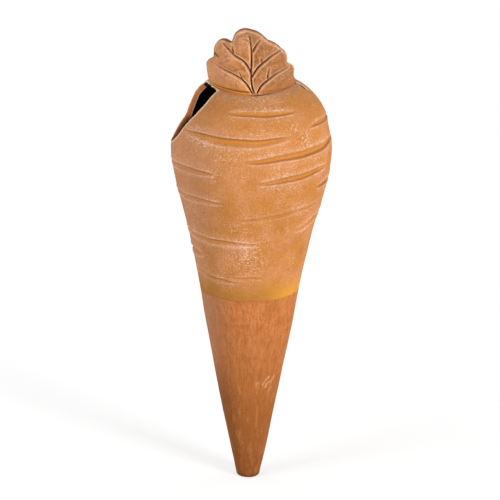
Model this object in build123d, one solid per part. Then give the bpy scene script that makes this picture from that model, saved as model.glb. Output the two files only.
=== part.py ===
from build123d import *
import math
import os

os.makedirs("parts", exist_ok=True)

# All sizes are in millimetres. Z is up, the blunt tip stands at the origin,
# and the leaf faces -Y, the front of the carrot.

# The raw spike that is pushed into the soil
tip_radius = 6.0
tip_round = 2.4
spike_length = 95.5
joint_radius = 23.3
spike_swell = 0.55
tip_solid = 9.0
bore_tip_radius = 3.4
bore_tip_round = 2.4

# The hollow carrot body: heights are above the joint with the spike
wall = 3.4
flank_height = 34.5
flank_radius = 30.4
bulge_height = 64.0
bulge_radius = 37.1
shoulder_height = 86.5
shoulder_radius = 32.4
brow_height = 97.5
brow_radius = 20.6
crown_height = 101.0
joint_slope = 10.5

# The lap joint between spike and body, filled with joining slip
lap_height = 7.0
lap_step = 0.5
spigot_wall = 1.7
lute = 0.4

# The fill mouth, cut through the left shoulder
mouth_half = 20.0
mouth_pitch = 40.0
mouth_height = 89.5

# The leaf that stands on the front of the crown
leaf_foot_half = 19.2
leaf_foot_front = 23.5
leaf_thickness = 3.6
leaf_spread = 13.0
leaf_lean = 6.0
leaf_height = 30.4
leaf_hollow = 10.0
leaf_edge_round = 0.7
bead_width = 0.6
bead_height = 0.8

# Veins carved in the leaf, and creases pressed in the body
vein_radius = 0.8
vein_depth = 0.75
side_vein_radius = 0.6
crease_radius = 1.35

# Creases: height above the joint, bearing from the front (right is positive),
# half of the arc that it covers, depth, and in degrees how it climbs to the right
# and how much its middle hangs below its ends
CREASES = [
    (88.7, 9, 30, 0.8, 0.5, 12),
    (77.7, -13, 46, 1.1, -0.5, 10),
    (70.6, 36, 44, 1.1, 5.5, 0),
    (60.4, 36, 34, 0.9, 6.5, 0),
    (54.4, 74, 26, 0.7, 3, 0),
    (82.8, 72, 26, 0.6, 2, 0),
    (62.1, -58, 34, 0.9, -1, 0),
    (48.3, -58, 38, 0.9, -1, 0),
    (42.4, 28, 34, 0.4, 6, 0),
    (37.1, 66, 28, 0.8, 10, 0),
    (29.4, -50, 40, 0.9, -1.5, 0),
    (20.2, -64, 22, 0.6, 0, 0),
    (9.9, -46, 34, 0.6, -7, 0),
    (11.1, -4, 18, 0.35, 0, 0),
    (83.0, 150, 42, 0.9, 3, 6),
    (73.0, 196, 40, 1.0, -3, 5),
    (63.0, 142, 40, 0.9, 0, 0),
    (52.0, 200, 44, 1.0, 4, 0),
    (42.0, 138, 38, 0.8, -3, 0),
    (33.0, 208, 40, 0.9, 2, 0),
    (23.0, 150, 42, 0.8, 3, 0),
    (13.0, 205, 38, 0.7, -2, 0),
]

# Outline of the fill mouth on the plane across the cut, from its upper front corner
# down and round to its upper rear corner: to the front and up, in mouth halves
MOUTH = [
    (0.785, 0.75),
    (0.965, 0.48),
    (1.03, 0.14),
    (0.94, -0.24),
    (0.74, -0.60),
    (0.35, -0.875),
    (-0.12, -0.975),
    (-0.535, -0.875),
    (-0.785, -0.665),
    (-0.90, -0.44),
    (-0.805, -0.185),
    (-0.61, 0.13),
    (-0.44, 0.50),
]

# Leaf outline from its lower left corner, clockwise, one lobe to a row: across as
# a share of the half width that the leaf's curve has there, up in leaf heights
LOBES = [
    [(-0.98, 0.14), (-0.95, 0.32), (-0.90, 0.46), (-0.79, 0.53)],
    [(-0.79, 0.53), (-0.73, 0.70), (-0.57, 0.82), (-0.37, 0.80)],
    [(-0.37, 0.80), (-0.30, 0.93), (-0.13, 1.00), (0.12, 0.94), (0.29, 0.82)],
    [(0.29, 0.82), (0.48, 0.76), (0.65, 0.61), (0.70, 0.46)],
    [(0.70, 0.46), (0.83, 0.40), (0.89, 0.26), (0.98, 0.14)],
]

# Veins on the same scales: from the root, by a middle point, to the tip. Three of
# them cross at the foot and run out through it
VEINS = [
    [(0.08, -0.08), (-0.03, 0.38), (-0.06, 0.90)],
    [(-0.01, 0.26), (0.25, 0.505), (0.56, 0.70)],
    [(0.01, -0.08), (0.34, 0.22), (0.80, 0.42)],
    [(-0.03, 0.33), (-0.30, 0.57), (-0.54, 0.76)],
    [(0.10, -0.08), (-0.30, 0.25), (-0.80, 0.435)],
]
SIDE_VEINS = [
    [(-0.02, 0.62), (0.06, 0.74), (0.13, 0.835)],
    [(-0.045, 0.71), (-0.085, 0.79), (-0.17, 0.83)],
    [(0.33, 0.22), (0.32, 0.32), (0.33, 0.41)],
    [(-0.34, 0.60), (-0.36, 0.655), (-0.37, 0.71)],
    [(-0.24, 0.21), (-0.255, 0.285), (-0.28, 0.345)],
    [(0.22, 0.48), (0.18, 0.515), (0.165, 0.56)],
]

# Heights and radii that follow from the sizes above
crown_top = spike_length + crown_height
socket_top = spike_length + lap_height + lute
leaf_reach = leaf_foot_front + leaf_height


def at(radius, height):
    """A point of a half profile: distance from the axis, height."""
    return Vector(radius, 0, height)


def spin(edges):
    """Turn a closed half profile round the axis."""
    return revolve(make_face(edges), axis=Axis.Z)


def lines(*points):
    """Straight edges from point to point."""
    return [Line(a, b) for a, b in zip(points, points[1:])]


body_knots = [
    at(joint_radius, spike_length),
    at(flank_radius, spike_length + flank_height),
    at(bulge_radius, spike_length + bulge_height),
    at(shoulder_radius, spike_length + shoulder_height),
    at(brow_radius, spike_length + brow_height),
    at(0, crown_top),
]
rising = (math.sin(math.radians(joint_slope)), 0, math.cos(math.radians(joint_slope)))
body_curve = Spline(*body_knots, tangents=[rising, (-1, 0, 0)])


def body_point(height):
    """The point of the body's outer curve at a height, found by halving."""
    low = 0.0
    high = 1.0
    for _ in range(40):
        middle = (low + high) / 2
        if (body_curve @ middle).Z < height:
            low = middle
        else:
            high = middle
    return body_curve @ low


def body_point_beyond(radius):
    """The point of the body's outer curve above the bulge that has a radius."""
    low = body_curve.param_at_point(body_knots[2])
    high = 1.0
    for _ in range(40):
        middle = (low + high) / 2
        if (body_curve @ middle).X > radius:
            low = middle
        else:
            high = middle
    return body_curve @ low


def inset(point, depth):
    """Move a point of the body's curve squarely into the clay."""
    along = body_curve % body_curve.param_at_point(point)
    return point + Vector(-along.Z, 0, along.X) * depth


def inset_curve(first, depth):
    """The body's curve moved in by a depth, from a first point up to the axis."""
    knots = [knot for knot in body_knots if knot.Z > first.Z + wall]
    points = [inset(knot, depth) for knot in [first] + knots]
    return Spline(*points, tangents=[body_curve % body_curve.param_at_point(first), (-1, 0, 0)])


bore_curve = inset_curve(body_point(socket_top), wall)
bore_radius = (bore_curve @ 0).X
socket_radius = bore_radius + lap_step
spigot_radius = socket_radius - lute
spigot_bore = spigot_radius - spigot_wall
foot_height = body_point_beyond(leaf_foot_front).Z


def make_spike():
    """Raw cone: a bowed side, a blunt tip, a bore, and a spigot on top."""
    ledge = at(joint_radius, spike_length - lute)
    foot = at(tip_radius, 0)
    middle = (foot + ledge) / 2 + Vector(spike_swell, 0, 0)
    spigot_top = spike_length + lap_height
    bore_end = at(bore_tip_radius, tip_solid)
    side = ThreePointArc(foot, middle, ledge)
    inner = lines(
        ledge,
        at(spigot_radius, spike_length - lute),
        at(spigot_radius, spigot_top),
        at(spigot_bore, spigot_top),
        bore_end,
        at(0, tip_solid),
        at(0, 0),
        foot,
    )
    spike = spin([side] + inner)
    rims = spike.edges().filter_by(GeomType.CIRCLE)
    spike = fillet(rims.group_by(Axis.Z)[0], tip_round)
    well = spike.edges().filter_by(GeomType.CIRCLE).filter_by(
        lambda e: abs(e.center().Z - tip_solid) < lute and e.radius > lute
    )
    return fillet(well, bore_tip_round)


def make_crease(height, bearing, half_arc, depth, climb, hang):
    """A ring set off the axis, so that it bites deepest in the middle of its arc."""
    level = spike_length + height
    shift = depth / (1 - math.cos(math.radians(half_arc)))
    reach = body_point(level).X + crease_radius - depth
    ring = Pos(-reach - shift, 0, 0) * Torus(reach + shift, crease_radius)
    tilted = Pos(reach, 0, level) * Rot(X=climb) * Rot(Y=hang) * ring
    return Rot(Z=bearing - 90) * tilted


def make_mouth():
    """Slanted hand cut for the fill mouth, stopping short of the leaf's foot."""
    pitch = math.radians(mouth_pitch)
    way = (-math.cos(pitch), 0, math.sin(pitch))
    centre = body_point(spike_length + mouth_height)
    plane = Plane((-centre.X, 0, centre.Z), x_dir=(0, -1, 0), z_dir=way)
    knots = [Vector(across, up, 0) * mouth_half for across, up in MOUTH]
    outline = plane * make_face([Spline(*knots), Line(knots[-1], knots[0])])
    return extrude(outline, amount=-bulge_radius / 2) + extrude(outline, amount=bulge_radius)


def make_body():
    """Coated shell: turned wall, socket for the spike, creases and fill mouth."""
    walls = lines(
        body_curve @ 1,
        bore_curve @ 1,
    ) + [bore_curve] + lines(
        bore_curve @ 0,
        at(bore_radius, socket_top),
        at(socket_radius, socket_top),
        at(socket_radius, spike_length),
        body_curve @ 0,
    )
    body = spin([body_curve] + walls)
    for crease in CREASES:
        body -= make_crease(*crease)
    return body - make_mouth()


def make_spike_lute():
    """Ring of joining slip: between the rims, up the spigot and over its top."""
    spigot_top = spike_length + lap_height
    return spin(lines(
        at(spigot_radius, spike_length - lute),
        at(joint_radius, spike_length - lute),
        at(joint_radius, spike_length),
        at(socket_radius, spike_length),
        at(socket_radius, socket_top),
        at(spigot_bore, socket_top),
        at(spigot_bore, spigot_top),
        at(spigot_radius, spigot_top),
        at(spigot_radius, spike_length - lute),
    ))


def crown_cap(lift):
    """The body as a full solid, lifted by a layer of slip."""
    curve = inset_curve(body_curve @ 0, -lift)
    return spin([curve] + lines(
        curve @ 1,
        at(0, spike_length),
        curve @ 0,
    ))


def crown_layer(thickness):
    """A layer of slip over the whole body, lying on its outer curve."""
    curve = inset_curve(body_curve @ 0, -thickness)
    ends = lines(body_curve @ 0, curve @ 0) + lines(curve @ 1, body_curve @ 1)
    return spin([body_curve, curve] + ends)


def leaf_axes(up, grow):
    """Half axes of the oval that the leaf's front face follows at a height above its foot."""
    half = leaf_foot_half + up * math.tan(math.radians(leaf_spread))
    front = leaf_foot_front + up * math.tan(math.radians(leaf_lean))
    return half + grow, front + grow


def leaf_ring(up, grow):
    """That oval as a flat face, grown or shrunk."""
    return Pos(0, 0, foot_height + up) * Ellipse(*leaf_axes(up, grow))


def on_leaf(spot, lift):
    """A point on the leaf's front face, or lifted off it."""
    across, up = spot
    half, front = leaf_axes(up * leaf_height, lift)
    return Vector(half * across, -front * math.sqrt(1 - across**2), foot_height + up * leaf_height)


def through_leaf(spot, reach):
    """Where a line from behind the leaf through a spot of its face meets an upright plane."""
    face = on_leaf(spot, 0)
    share = (leaf_hollow + reach) / (leaf_hollow - face.Y)
    return Vector(face.X * share, -reach, face.Z)


def leaf_outline(reach):
    """Edges of the lobed outline, spread or narrowed to suit an upright plane."""
    edges = [Spline(*[through_leaf(spot, reach) for spot in lobe]) for lobe in LOBES]
    root = -leaf_thickness / leaf_height * 2
    edges += lines(
        edges[-1] @ 1,
        through_leaf((LOBES[-1][-1][0], root), reach),
        through_leaf((LOBES[0][0][0], root), reach),
        edges[0] @ 0,
    )
    return edges


def carve(vein, radius, depth):
    """Round groove along a vein, deep at the root and fading out at the tip."""
    path = Spline(
        on_leaf(vein[0], radius - depth),
        on_leaf(vein[1], radius - depth),
        on_leaf(vein[2], radius),
    )
    return sweep(Plane(path @ 0, z_dir=path % 0) * Circle(radius), path=path)


def make_leaf():
    """Lobed leaf: its outline pushed through a flared shell, seated on the crown."""
    below = -leaf_thickness * 2
    above = leaf_height + leaf_thickness
    shell = loft([leaf_ring(below, 0), leaf_ring(above, 0)], ruled=True)
    shell -= loft([leaf_ring(below, -leaf_thickness), leaf_ring(above, -leaf_thickness)], ruled=True)
    back = leaf_outline(0)
    front = leaf_outline(leaf_reach)
    sides = [Face.make_surface_from_curves(a.edge(), b.edge()) for a, b in zip(back, front)]
    outline = Solid(Shell(sides + [make_face(back).face(), make_face(front).face()]))
    leaf = shell & outline
    face = leaf.faces().sort_by(SortBy.AREA)[-1]
    rim = [edge for edge in face.edges() if edge.center().Z > foot_height]
    leaf = fillet(rim, leaf_edge_round) - crown_cap(lute)
    for vein in VEINS:
        leaf -= carve(vein, vein_radius, vein_depth)
    for vein in SIDE_VEINS:
        leaf -= carve(vein, side_vein_radius, side_vein_radius)
    return leaf


def make_leaf_lute(leaf):
    """Bead of slip that the leaf's foot is pressed into."""
    ring = leaf_ring(0, bead_width) - leaf_ring(0, -leaf_thickness - bead_width)
    front = Rectangle(2 * leaf_reach, leaf_reach, align=(Align.CENTER, Align.MAX))
    pad = extrude(ring & Pos(0, 0, foot_height) * front, amount=leaf_height, both=True)
    return (pad & crown_layer(bead_height)) - leaf


spike = make_spike()
body = make_body()
spike_lute = make_spike_lute()
leaf = make_leaf()
leaf_lute = make_leaf_lute(leaf)

export_step(spike, "parts/porous_spike.step")
export_step(body, "parts/carrot_body.step")
export_step(spike_lute, "parts/spike_lute.step")
export_step(leaf, "parts/crown_leaf.step")
export_step(leaf_lute, "parts/leaf_lute.step")
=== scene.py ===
# %% [markdown]
# # A watering spike, shaped as a carrot
# The real thing is cast and hand finished terracotta. A hollow carrot holds water, a raw cone
# under it lets the water seep into the soil, and a leaf stands on the crown. In Blender it could
# be sculpted by hand, but every form on it is a smooth sheet with things pressed into it, so each
# piece here is a surface: a grid of points that a formula in two parameters puts in place.

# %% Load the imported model
import math

import bpy
import numpy as np
from mathutils import Matrix, Vector


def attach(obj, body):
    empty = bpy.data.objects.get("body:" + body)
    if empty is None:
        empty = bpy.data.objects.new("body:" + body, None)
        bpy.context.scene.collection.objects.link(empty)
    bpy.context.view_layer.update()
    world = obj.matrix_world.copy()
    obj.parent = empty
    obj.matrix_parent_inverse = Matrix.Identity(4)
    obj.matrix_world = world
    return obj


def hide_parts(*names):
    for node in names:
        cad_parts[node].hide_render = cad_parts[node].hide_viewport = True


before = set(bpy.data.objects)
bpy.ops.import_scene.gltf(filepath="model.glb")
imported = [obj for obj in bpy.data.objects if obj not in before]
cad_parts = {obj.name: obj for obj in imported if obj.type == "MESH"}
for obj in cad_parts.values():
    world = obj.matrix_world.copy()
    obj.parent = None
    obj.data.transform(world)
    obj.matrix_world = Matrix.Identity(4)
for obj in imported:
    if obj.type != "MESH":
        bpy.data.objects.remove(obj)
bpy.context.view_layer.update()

MM = 0.001

# %% [markdown]
# ## Curves
# A turned pot is drawn as half of its outline. The outline here is the curve that a thin springy
# strip takes when it is pinned at a few points, which is what a cubic spline is. Both ends can be
# clamped to a direction, or left free, where the strip is straight.


# %% Rises, bells and directions
def smooth(low, high, value):
    """0 below low, 1 above high, and an S-shaped rise between them."""
    share = np.clip((value - low) / (high - low), 0, 1)
    return share * share * (3 - 2 * share)


def bell(value, width, middle=0.0):
    """1 at the middle, fading to both sides as e to the minus square of the distance in widths."""
    return np.exp(-(((value - middle) / width) ** 2))


def unit(vectors):
    """The vectors, each divided by its length."""
    return vectors / np.linalg.norm(vectors, axis=-1, keepdims=True)


# %% A springy curve through a few points
def springy(knots, samples, start=None, end=None):
    """Points along a cubic spline: the slopes at the knots are solved so that the bend has no jumps,
    and between two knots the point is their weighted mean plus the pull of both slopes."""
    p = np.asarray(knots, float)
    span = np.linalg.norm(np.diff(p, axis=0), axis=1)
    inner = np.arange(1, len(p) - 1)
    rule = np.eye(len(p))
    pull = np.zeros_like(p)
    rule[inner, inner - 1] = 1 / span[:-1]
    rule[inner, inner] = 2 / span[:-1] + 2 / span[1:]
    rule[inner, inner + 1] = 1 / span[1:]
    step = np.diff(p, axis=0) / span[:, None]
    pull[inner] = 3 * (step[:-1] / span[:-1, None] + step[1:] / span[1:, None])
    for row, beside, slope, edge in ((0, 1, start, 0), (-1, -2, end, -1)):
        rule[row, beside] = 0.5 if slope is None else 0
        pull[row] = 1.5 * step[edge] if slope is None else slope
    slopes = np.linalg.solve(rule, pull)
    knot_at = np.concatenate([[0], np.cumsum(span)])
    along = np.linspace(0, knot_at[-1], samples)
    k = np.clip(np.searchsorted(knot_at, along, side="right") - 1, 0, len(p) - 2)
    h = span[k][:, None]
    s = (along - knot_at[k])[:, None] / h
    here = (1 + 2 * s) * (1 - s) ** 2 * p[k] + s * (1 - s) ** 2 * h * slopes[k]
    return here + s * s * (3 - 2 * s) * p[k + 1] + s * s * (s - 1) * h * slopes[k + 1]


# %% The carrot's outline
# Heights of the joint with the spike and of the widest place, and the slope of the side at the joint
JOINT, WIDEST, SLOPE = 95.5, 159.5, math.radians(10.5)
body_line = springy(
    [(23.3, JOINT), (30.4, 130.0), (37.1, WIDEST), (32.8, 182.3), (21.0, 193.2), (0.0, 196.5)],
    3000, (math.sin(SLOPE), math.cos(SLOPE)), (-1.0, 0.0))
line_r, line_z = body_line.T
line_steep = np.gradient(line_z) / np.hypot(np.gradient(line_r), np.gradient(line_z))
top = line_r.argmax()
print("body outline: widest", line_r[top].round(2), "mm at height", line_z[top].round(1))


def outer_radius(height):
    """Radius of the body's outline at a height."""
    return np.interp(height, line_z, line_r, left=line_r[0], right=0)


def crown_z(radius):
    """Height of the crown at a distance from the axis."""
    return np.interp(-radius, -line_r[top:], line_z[top:])


# %% [markdown]
# ## Unevenness
# Nothing pressed by hand is exact. A lattice of random values, blended smoothly between its
# points, gives soft lumps of any size. It depends on the place in space alone, so it has no seam
# where a surface closes on itself, and the seed makes each run the same.

# %% Soft lumps
CELLS = 48
LATTICE = np.random.default_rng(11).uniform(-1, 1, (CELLS, CELLS, CELLS))
print("lattice:", LATTICE.size, "random heights")


def lumps(points, size, shift=0.0):
    """Random heights from -1 to 1, blended over the eight lattice points around each place."""
    q = points / size + 20.3 + shift
    cell = np.floor(q).astype(int)
    f = q - cell
    f = f * f * (3 - 2 * f)
    total = 0
    for corner in np.ndindex(2, 2, 2):
        i = (cell + corner) % CELLS
        share = np.prod(np.where(np.array(corner) == 1, f, 1 - f), axis=-1)
        total = total + share * LATTICE[i[..., 0], i[..., 1], i[..., 2]]
    return total


def wobble(line):
    """Unsteadiness of the hand on both axes of a flat line, from two sets of lumps."""
    return np.stack([lumps(np.pad(line, ((0, 0), (0, 1))), 2.2, n) for n in (4, 8)], axis=-1)


# %% [markdown]
# ## From a grid to a piece
# A grid of rings becomes a mesh by joining each point to its neighbours with four-sided faces, all
# wound the same way so that they look outwards. Both ends are closed by a fan of triangles.


# %% A closed tube of rings
def add(name, data):
    """A new object in the scene."""
    made = bpy.data.objects.new(name, data)
    bpy.context.scene.collection.objects.link(made)
    return made


def tube(name, grid, loop=False):
    """Mesh object from rows of closed rings, in millimetres. Each end gets a fan of triangles, or the
    last ring joins the first in a loop."""
    rows, cols = grid.shape[:2]
    points = np.concatenate([grid.reshape(-1, 3), grid[:1].mean(axis=1), grid[-1:].mean(axis=1)])
    j = np.arange(cols)
    k = (j + 1) % cols
    row = np.arange(rows if loop else rows - 1)[:, None]
    here, there = row * cols, (row + 1) % rows * cols
    quads = np.stack([here + j, here + k, there + k, there + j], axis=-1).reshape(-1, 4)
    last = (rows - 1) * cols
    fans = np.concatenate([
        np.stack([np.full(cols, rows * cols), k, j], axis=-1),
        np.stack([np.full(cols, rows * cols + 1), last + j, last + k], axis=-1)])
    if loop:
        points, fans = points[:-2], fans[:0]
    a, b, c, d = (points[quads[:, n]] - points.mean(axis=0) for n in range(4))
    if (a * (np.cross(b, c) + np.cross(c, d))).sum() < 0:
        quads, fans = quads[:, ::-1], fans[:, ::-1]
    mesh = bpy.data.meshes.new(name)
    mesh.from_pydata((points * MM).tolist(), [], quads.tolist() + fans.tolist())
    mesh.shade_smooth()
    return add(name, mesh)


# %% Points of a mesh, and marks on them
def corners(mesh):
    """The mesh's points as an array, in millimetres."""
    flat = np.empty(len(mesh.vertices) * 3, np.float32)
    mesh.vertices.foreach_get("co", flat)
    return flat.reshape(-1, 3).astype(float) / MM


def tell(mesh, name, values):
    """Keep one number per point, for a material to read."""
    marks = mesh.attributes.new(name, "FLOAT", "POINT")
    marks.data.foreach_set("value", np.ascontiguousarray(values, np.float32))


# %% [markdown]
# ## Creases
# The maker rolled a thin stick over the soft carrot. Each pass left a channel that is deepest in
# the middle of its arc and pushed up a low lip on both sides, and a thin dark line of painted shade
# lies under one edge. The same function is used twice: first to press the surface, then to tell the
# material where channels, lips and lines are.

# %% Where the stick was pressed
# Height, bearing from the front in degrees (right is positive), half arc, depth, then in degrees
# the climb to the right and how much the middle hangs, its steep side (1 is the upper), and how
# much ochre was left in it
CREASES = [
    (184.2, 9, 32, 0.65, 0.5, 12, -1, 0.6), (173.2, -13, 46, 1.1, -0.5, 10, 1, 1.0),
    (166.5, 43, 51, 1.1, 5.5, 0, -1, 0.9), (155.9, 36, 34, 0.9, 6.5, 0, -1, 0.7),
    (149.9, 82, 28, 1.2, 3, 0, -1, 0.2), (178.3, 72, 26, 0.6, 2, 0, -1, 0.2),
    (157.6, -58, 34, 0.9, -1, 0, 1, 0.2), (143.8, -58, 38, 0.9, -1, 0, 1, 0.2),
    (137.9, 27, 42, 0.4, 7, 0, -1, 0.3), (133.6, 74, 36, 1.5, 14, 0, 1, 0.4),
    (124.4, -42, 52, 0.9, -2, 0, 1, 0.2), (115.7, -78, 27, 1.8, 0, 0, 1, 0.1),
    (105.4, -46, 34, 0.6, -7, 0, 1, 0.1), (106.6, -4, 18, 0.35, 0, 0, 1, 0.1),
    (178.5, 150, 42, 0.9, 3, 6, 1, 0.6), (168.5, 196, 40, 1.0, -3, 5, -1, 0.8),
    (158.5, 142, 40, 0.9, 0, 0, 1, 0.3), (147.5, 200, 44, 1.0, 4, 0, -1, 0.6),
    (137.5, 138, 38, 0.8, -3, 0, 1, 0.2), (128.5, 208, 40, 0.9, 2, 0, 1, 0.4),
    (118.5, 150, 42, 0.8, 3, 0, -1, 0.2), (108.5, 205, 38, 0.7, -2, 0, 1, 0.2),
]
print("creases:", len(CREASES))

# %% What each pass left
STEEP_SIDE, GENTLE_SIDE = 0.8, 1.35


def creases(bearing, height):
    """Depth of the channels, and how much of a channel, a lip and a dark line each place is. Across a
    crease the channel is an S-shaped well that is narrower on its steep side, the lip a bell on
    either side and the line a narrow bell at the steep edge. Along it they fade with the cosine of
    the angle from its middle, and two waves keep it from being straight."""
    steep = np.maximum(np.interp(height, line_z, line_steep), 0.3)
    depth, channel, lip, line = (np.zeros(np.broadcast(bearing, height).shape) for _ in range(4))
    for level, middle, half, deep, climb, hang, sharp, ochre in CREASES:
        turn = (bearing - math.radians(middle) + math.pi) % (2 * math.pi) - math.pi
        edge = math.cos(math.radians(half))
        fade = np.clip((np.cos(turn) - edge) / (1 - edge), 0, 1)
        reach = float(outer_radius(level))
        centre = (level + reach * np.sin(turn) * math.tan(math.radians(climb))
                  + reach * (1 - np.cos(turn)) * math.sin(math.radians(hang))
                  + 0.22 * np.sin(5.1 * turn + level) + 0.1 * np.sin(13 * turn + 2 * level))
        above = (height - centre) / steep * sharp
        width = 0.3 + (0.95 + 0.35 * ochre) * math.sqrt(deep) * fade**0.7
        off = np.where(above > 0, above / STEEP_SIDE, -above / GENTLE_SIDE) / width
        well = 1 - smooth(0.25, 1.15, off)
        depth = np.maximum(depth, deep * fade**0.8 * well)
        channel = np.maximum(channel, ochre * well * smooth(0.05, 0.8, fade))
        lips = (bell(above, 0.5, 1.05 * width) + 0.6 * bell(above, 0.6, -1.7 * width)
                + 0.3 * bell(np.abs(above), 1.4, 2.2 * width))
        lip = np.maximum(lip, lips * smooth(0.0, 0.4, fade) * (1 - well) * min(1.2 * deep, 1))
        # The dark line is painted shade under the steep edge of the crease
        tuck = bell(above, 0.36, 0.5 * width)
        line = np.maximum(line, tuck * smooth(0.05, 0.6, fade) * min(deep, 1))
    return depth, channel, np.clip(lip, 0, 1), line


# %% [markdown]
# ## The carrot's skin
# Rows climb the outline and columns go round it. Each point then moves along the outline's own
# normal: in where a crease was pressed, out on its lips, and a little either way with the lumps.
# The right side is a little fuller than the left, but flat where the shoulder turns.

# %% Outer skin
# Fine rings up to the smooth cap of the crown, coarse ones on it, and a fan round the axis
COLS, FINE, COARSE, CAP, FAN = 256, 316, 22, 19.0, 0.35
path = np.concatenate([[0], np.cumsum(np.hypot(*np.diff(body_line, axis=0).T))])
crown = float(np.interp(-CAP, -line_r[top:], path[top:]))
stops = np.concatenate([np.linspace(0, crown, FINE), np.linspace(crown, path[-1] - FAN, COARSE)[1:]])
r = np.interp(stops, path, line_r)[:, None]
z = np.interp(stops, path, line_z)[:, None]
out_r = np.interp(stops, path, line_steep)[:, None]
out_z = np.sqrt(np.maximum(1 - out_r**2, 0)) * np.where(z > line_z[top], 1, -1)
bearing = np.linspace(-math.pi, math.pi, COLS, endpoint=False)[None, :]
around = np.stack([np.sin(bearing), -np.cos(bearing), np.zeros_like(bearing)], axis=-1)


def ring_points(radius, height):
    """Points at a radius and a height on every bearing of the grid."""
    return radius[..., None] * around + np.stack([0 * height, 0 * height, height], axis=-1)


plain = ring_points(r + 0 * bearing, z + 0 * bearing)
depth, _, lip, _ = creases(bearing, z + 0 * bearing)
settle = (smooth(0, 5, stops) * smooth(0, 8, path[-1] - stops))[:, None]
uneven = 0.42 * lumps(plain, 26) + 0.16 * lumps(plain, 9, 3) + 0.035 * lumps(plain, 2.3, 7)
right = np.clip(np.sin(bearing), 0, 1)
shaved = 0.8 * bell(z, 6.0, 173.0) * right**2
push = settle * (uneven + 0.3 * lip - depth + 0.35 * right - shaved)
skin = ring_points(r + out_r * push, z + out_z * push)
body = tube("carrot_skin", skin)
print("skin:", len(stops), "rings of", COLS, "points; deepest crease", depth.max().round(2), "mm")

# %% [markdown]
# ## The hollow and the fill mouth
# The carrot is hollow, with a wall of 3.4 mm that thins to 2.3 mm in the shoulder, and a slanted
# mouth was cut through its left shoulder while the clay was firm. Cutting a mesh is a job for
# Boolean modifiers. One tool is the hollow, the outline moved in by the wall. The other is the
# mouth's outline carried along the slant of the knife, and it flares where it leaves the skin, so
# that the edge of the mouth is wiped soft.

# %% The hollow
# The socket for the spike, the wall and how much it thins, and every which point of the outline is used
SOCKET, SOCKET_TOP, WALL, THINNED, EVERY = 21.81, 102.9, 3.4, 1.1, 45
wall = WALL - THINNED * smooth(150, 168, line_z)
inside = line_z > 100
hollow_r = (line_r - wall * line_steep)[inside]
hollow_z = (line_z - wall * np.sqrt(1 - line_steep**2) * np.where(line_z > WIDEST, 1, -1))[inside]
keep = (hollow_z > SOCKET_TOP) & (hollow_r > 0.6)
hollow_r, hollow_z = hollow_r[keep][::EVERY], hollow_z[keep][::EVERY]
bore = hollow_r[0]
profile = np.concatenate([
    [(SOCKET, JOINT - 4), (SOCKET, JOINT), (SOCKET, SOCKET_TOP - 0.05), (bore, SOCKET_TOP)],
    np.stack([hollow_r, hollow_z], axis=-1)])


def even_spokes(count):
    """Directions on evenly spaced bearings, in plan."""
    turn = np.linspace(-math.pi, math.pi, count, endpoint=False)
    return np.stack([np.sin(turn), -np.cos(turn)], axis=-1)


def turned(half_outline, directions):
    """Rings from a half outline: each point goes round the axis at its radius and height."""
    radius, height = half_outline.T
    plan = radius[:, None, None] * directions[None]
    return np.concatenate([plan, np.broadcast_to(height[:, None, None], plan.shape[:2] + (1,))], axis=-1)


hollow = tube("hollow_tool", turned(profile, even_spokes(96)))
print("hollow:", len(profile), "rings, top at height", hollow_z.max().round(1))

# %% The knife's outline
# To the front and up on the plane across the cut, in halves of the mouth, from its upper front
# corner down and round to its upper rear corner
PITCH, MOUTH_HALF, MOUTH_Z = math.radians(40), 20.0, 185.0
MOUTH = [
    (0.80, 0.762), (0.965, 0.48), (1.03, 0.14), (0.94, -0.24), (0.74, -0.60), (0.40, -0.845),
    (0.02, -0.94), (-0.335, -0.905), (-0.60, -0.772), (-0.83, -0.56), (-0.915, -0.43), (-0.925, -0.30),
    (-0.90, -0.14), (-0.84, 0.02), (-0.73, 0.19), (-0.655, 0.345), (-0.57, 0.47), (-0.45, 0.555),
]
WAY = np.array([-math.cos(PITCH), 0, math.sin(PITCH)])
ACROSS = np.array([0.0, -1.0, 0.0])
UPHILL = np.array([math.sin(PITCH), 0, math.cos(PITCH)])
CENTRE = np.array([-float(outer_radius(MOUTH_Z)), 0, MOUTH_Z])


def closed_walk(points, count):
    """Evenly spaced points along a closed line."""
    points = np.concatenate([points, points[:1]])
    walked = np.concatenate([[0], np.cumsum(np.hypot(*np.diff(points, axis=0).T))])
    steps = np.linspace(0, walked[-1], count, endpoint=False)
    return np.stack([np.interp(steps, walked, points[:, n]) for n in (0, 1)], axis=-1)


def step_round(values):
    """Half the difference between the next and the last value of a closed row."""
    return (np.roll(values, -1, axis=0) - np.roll(values, 1, axis=0)) / 2


knots = np.array(MOUTH) * MOUTH_HALF
brow = knots[-1] + np.linspace(0, 1, 60)[1:-1, None] * (knots[0] - knots[-1])
brow[:, 1] += 0.22 * np.sin(1.1 * brow[:, 0]) + 0.1 * np.sin(2.9 * brow[:, 0])
mouth = closed_walk(np.concatenate([springy(knots, 400), brow]), 320)
mouth += 0.08 * wobble(mouth)
ahead = step_round(mouth)
outward = unit(np.stack([ahead[:, 1], -ahead[:, 0]], axis=-1))
outward *= np.sign((outward * (mouth - mouth.mean(axis=0))).sum())
print("mouth:", np.round(np.ptp(mouth, axis=0), 1).tolist(), "mm across the cut")

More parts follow.
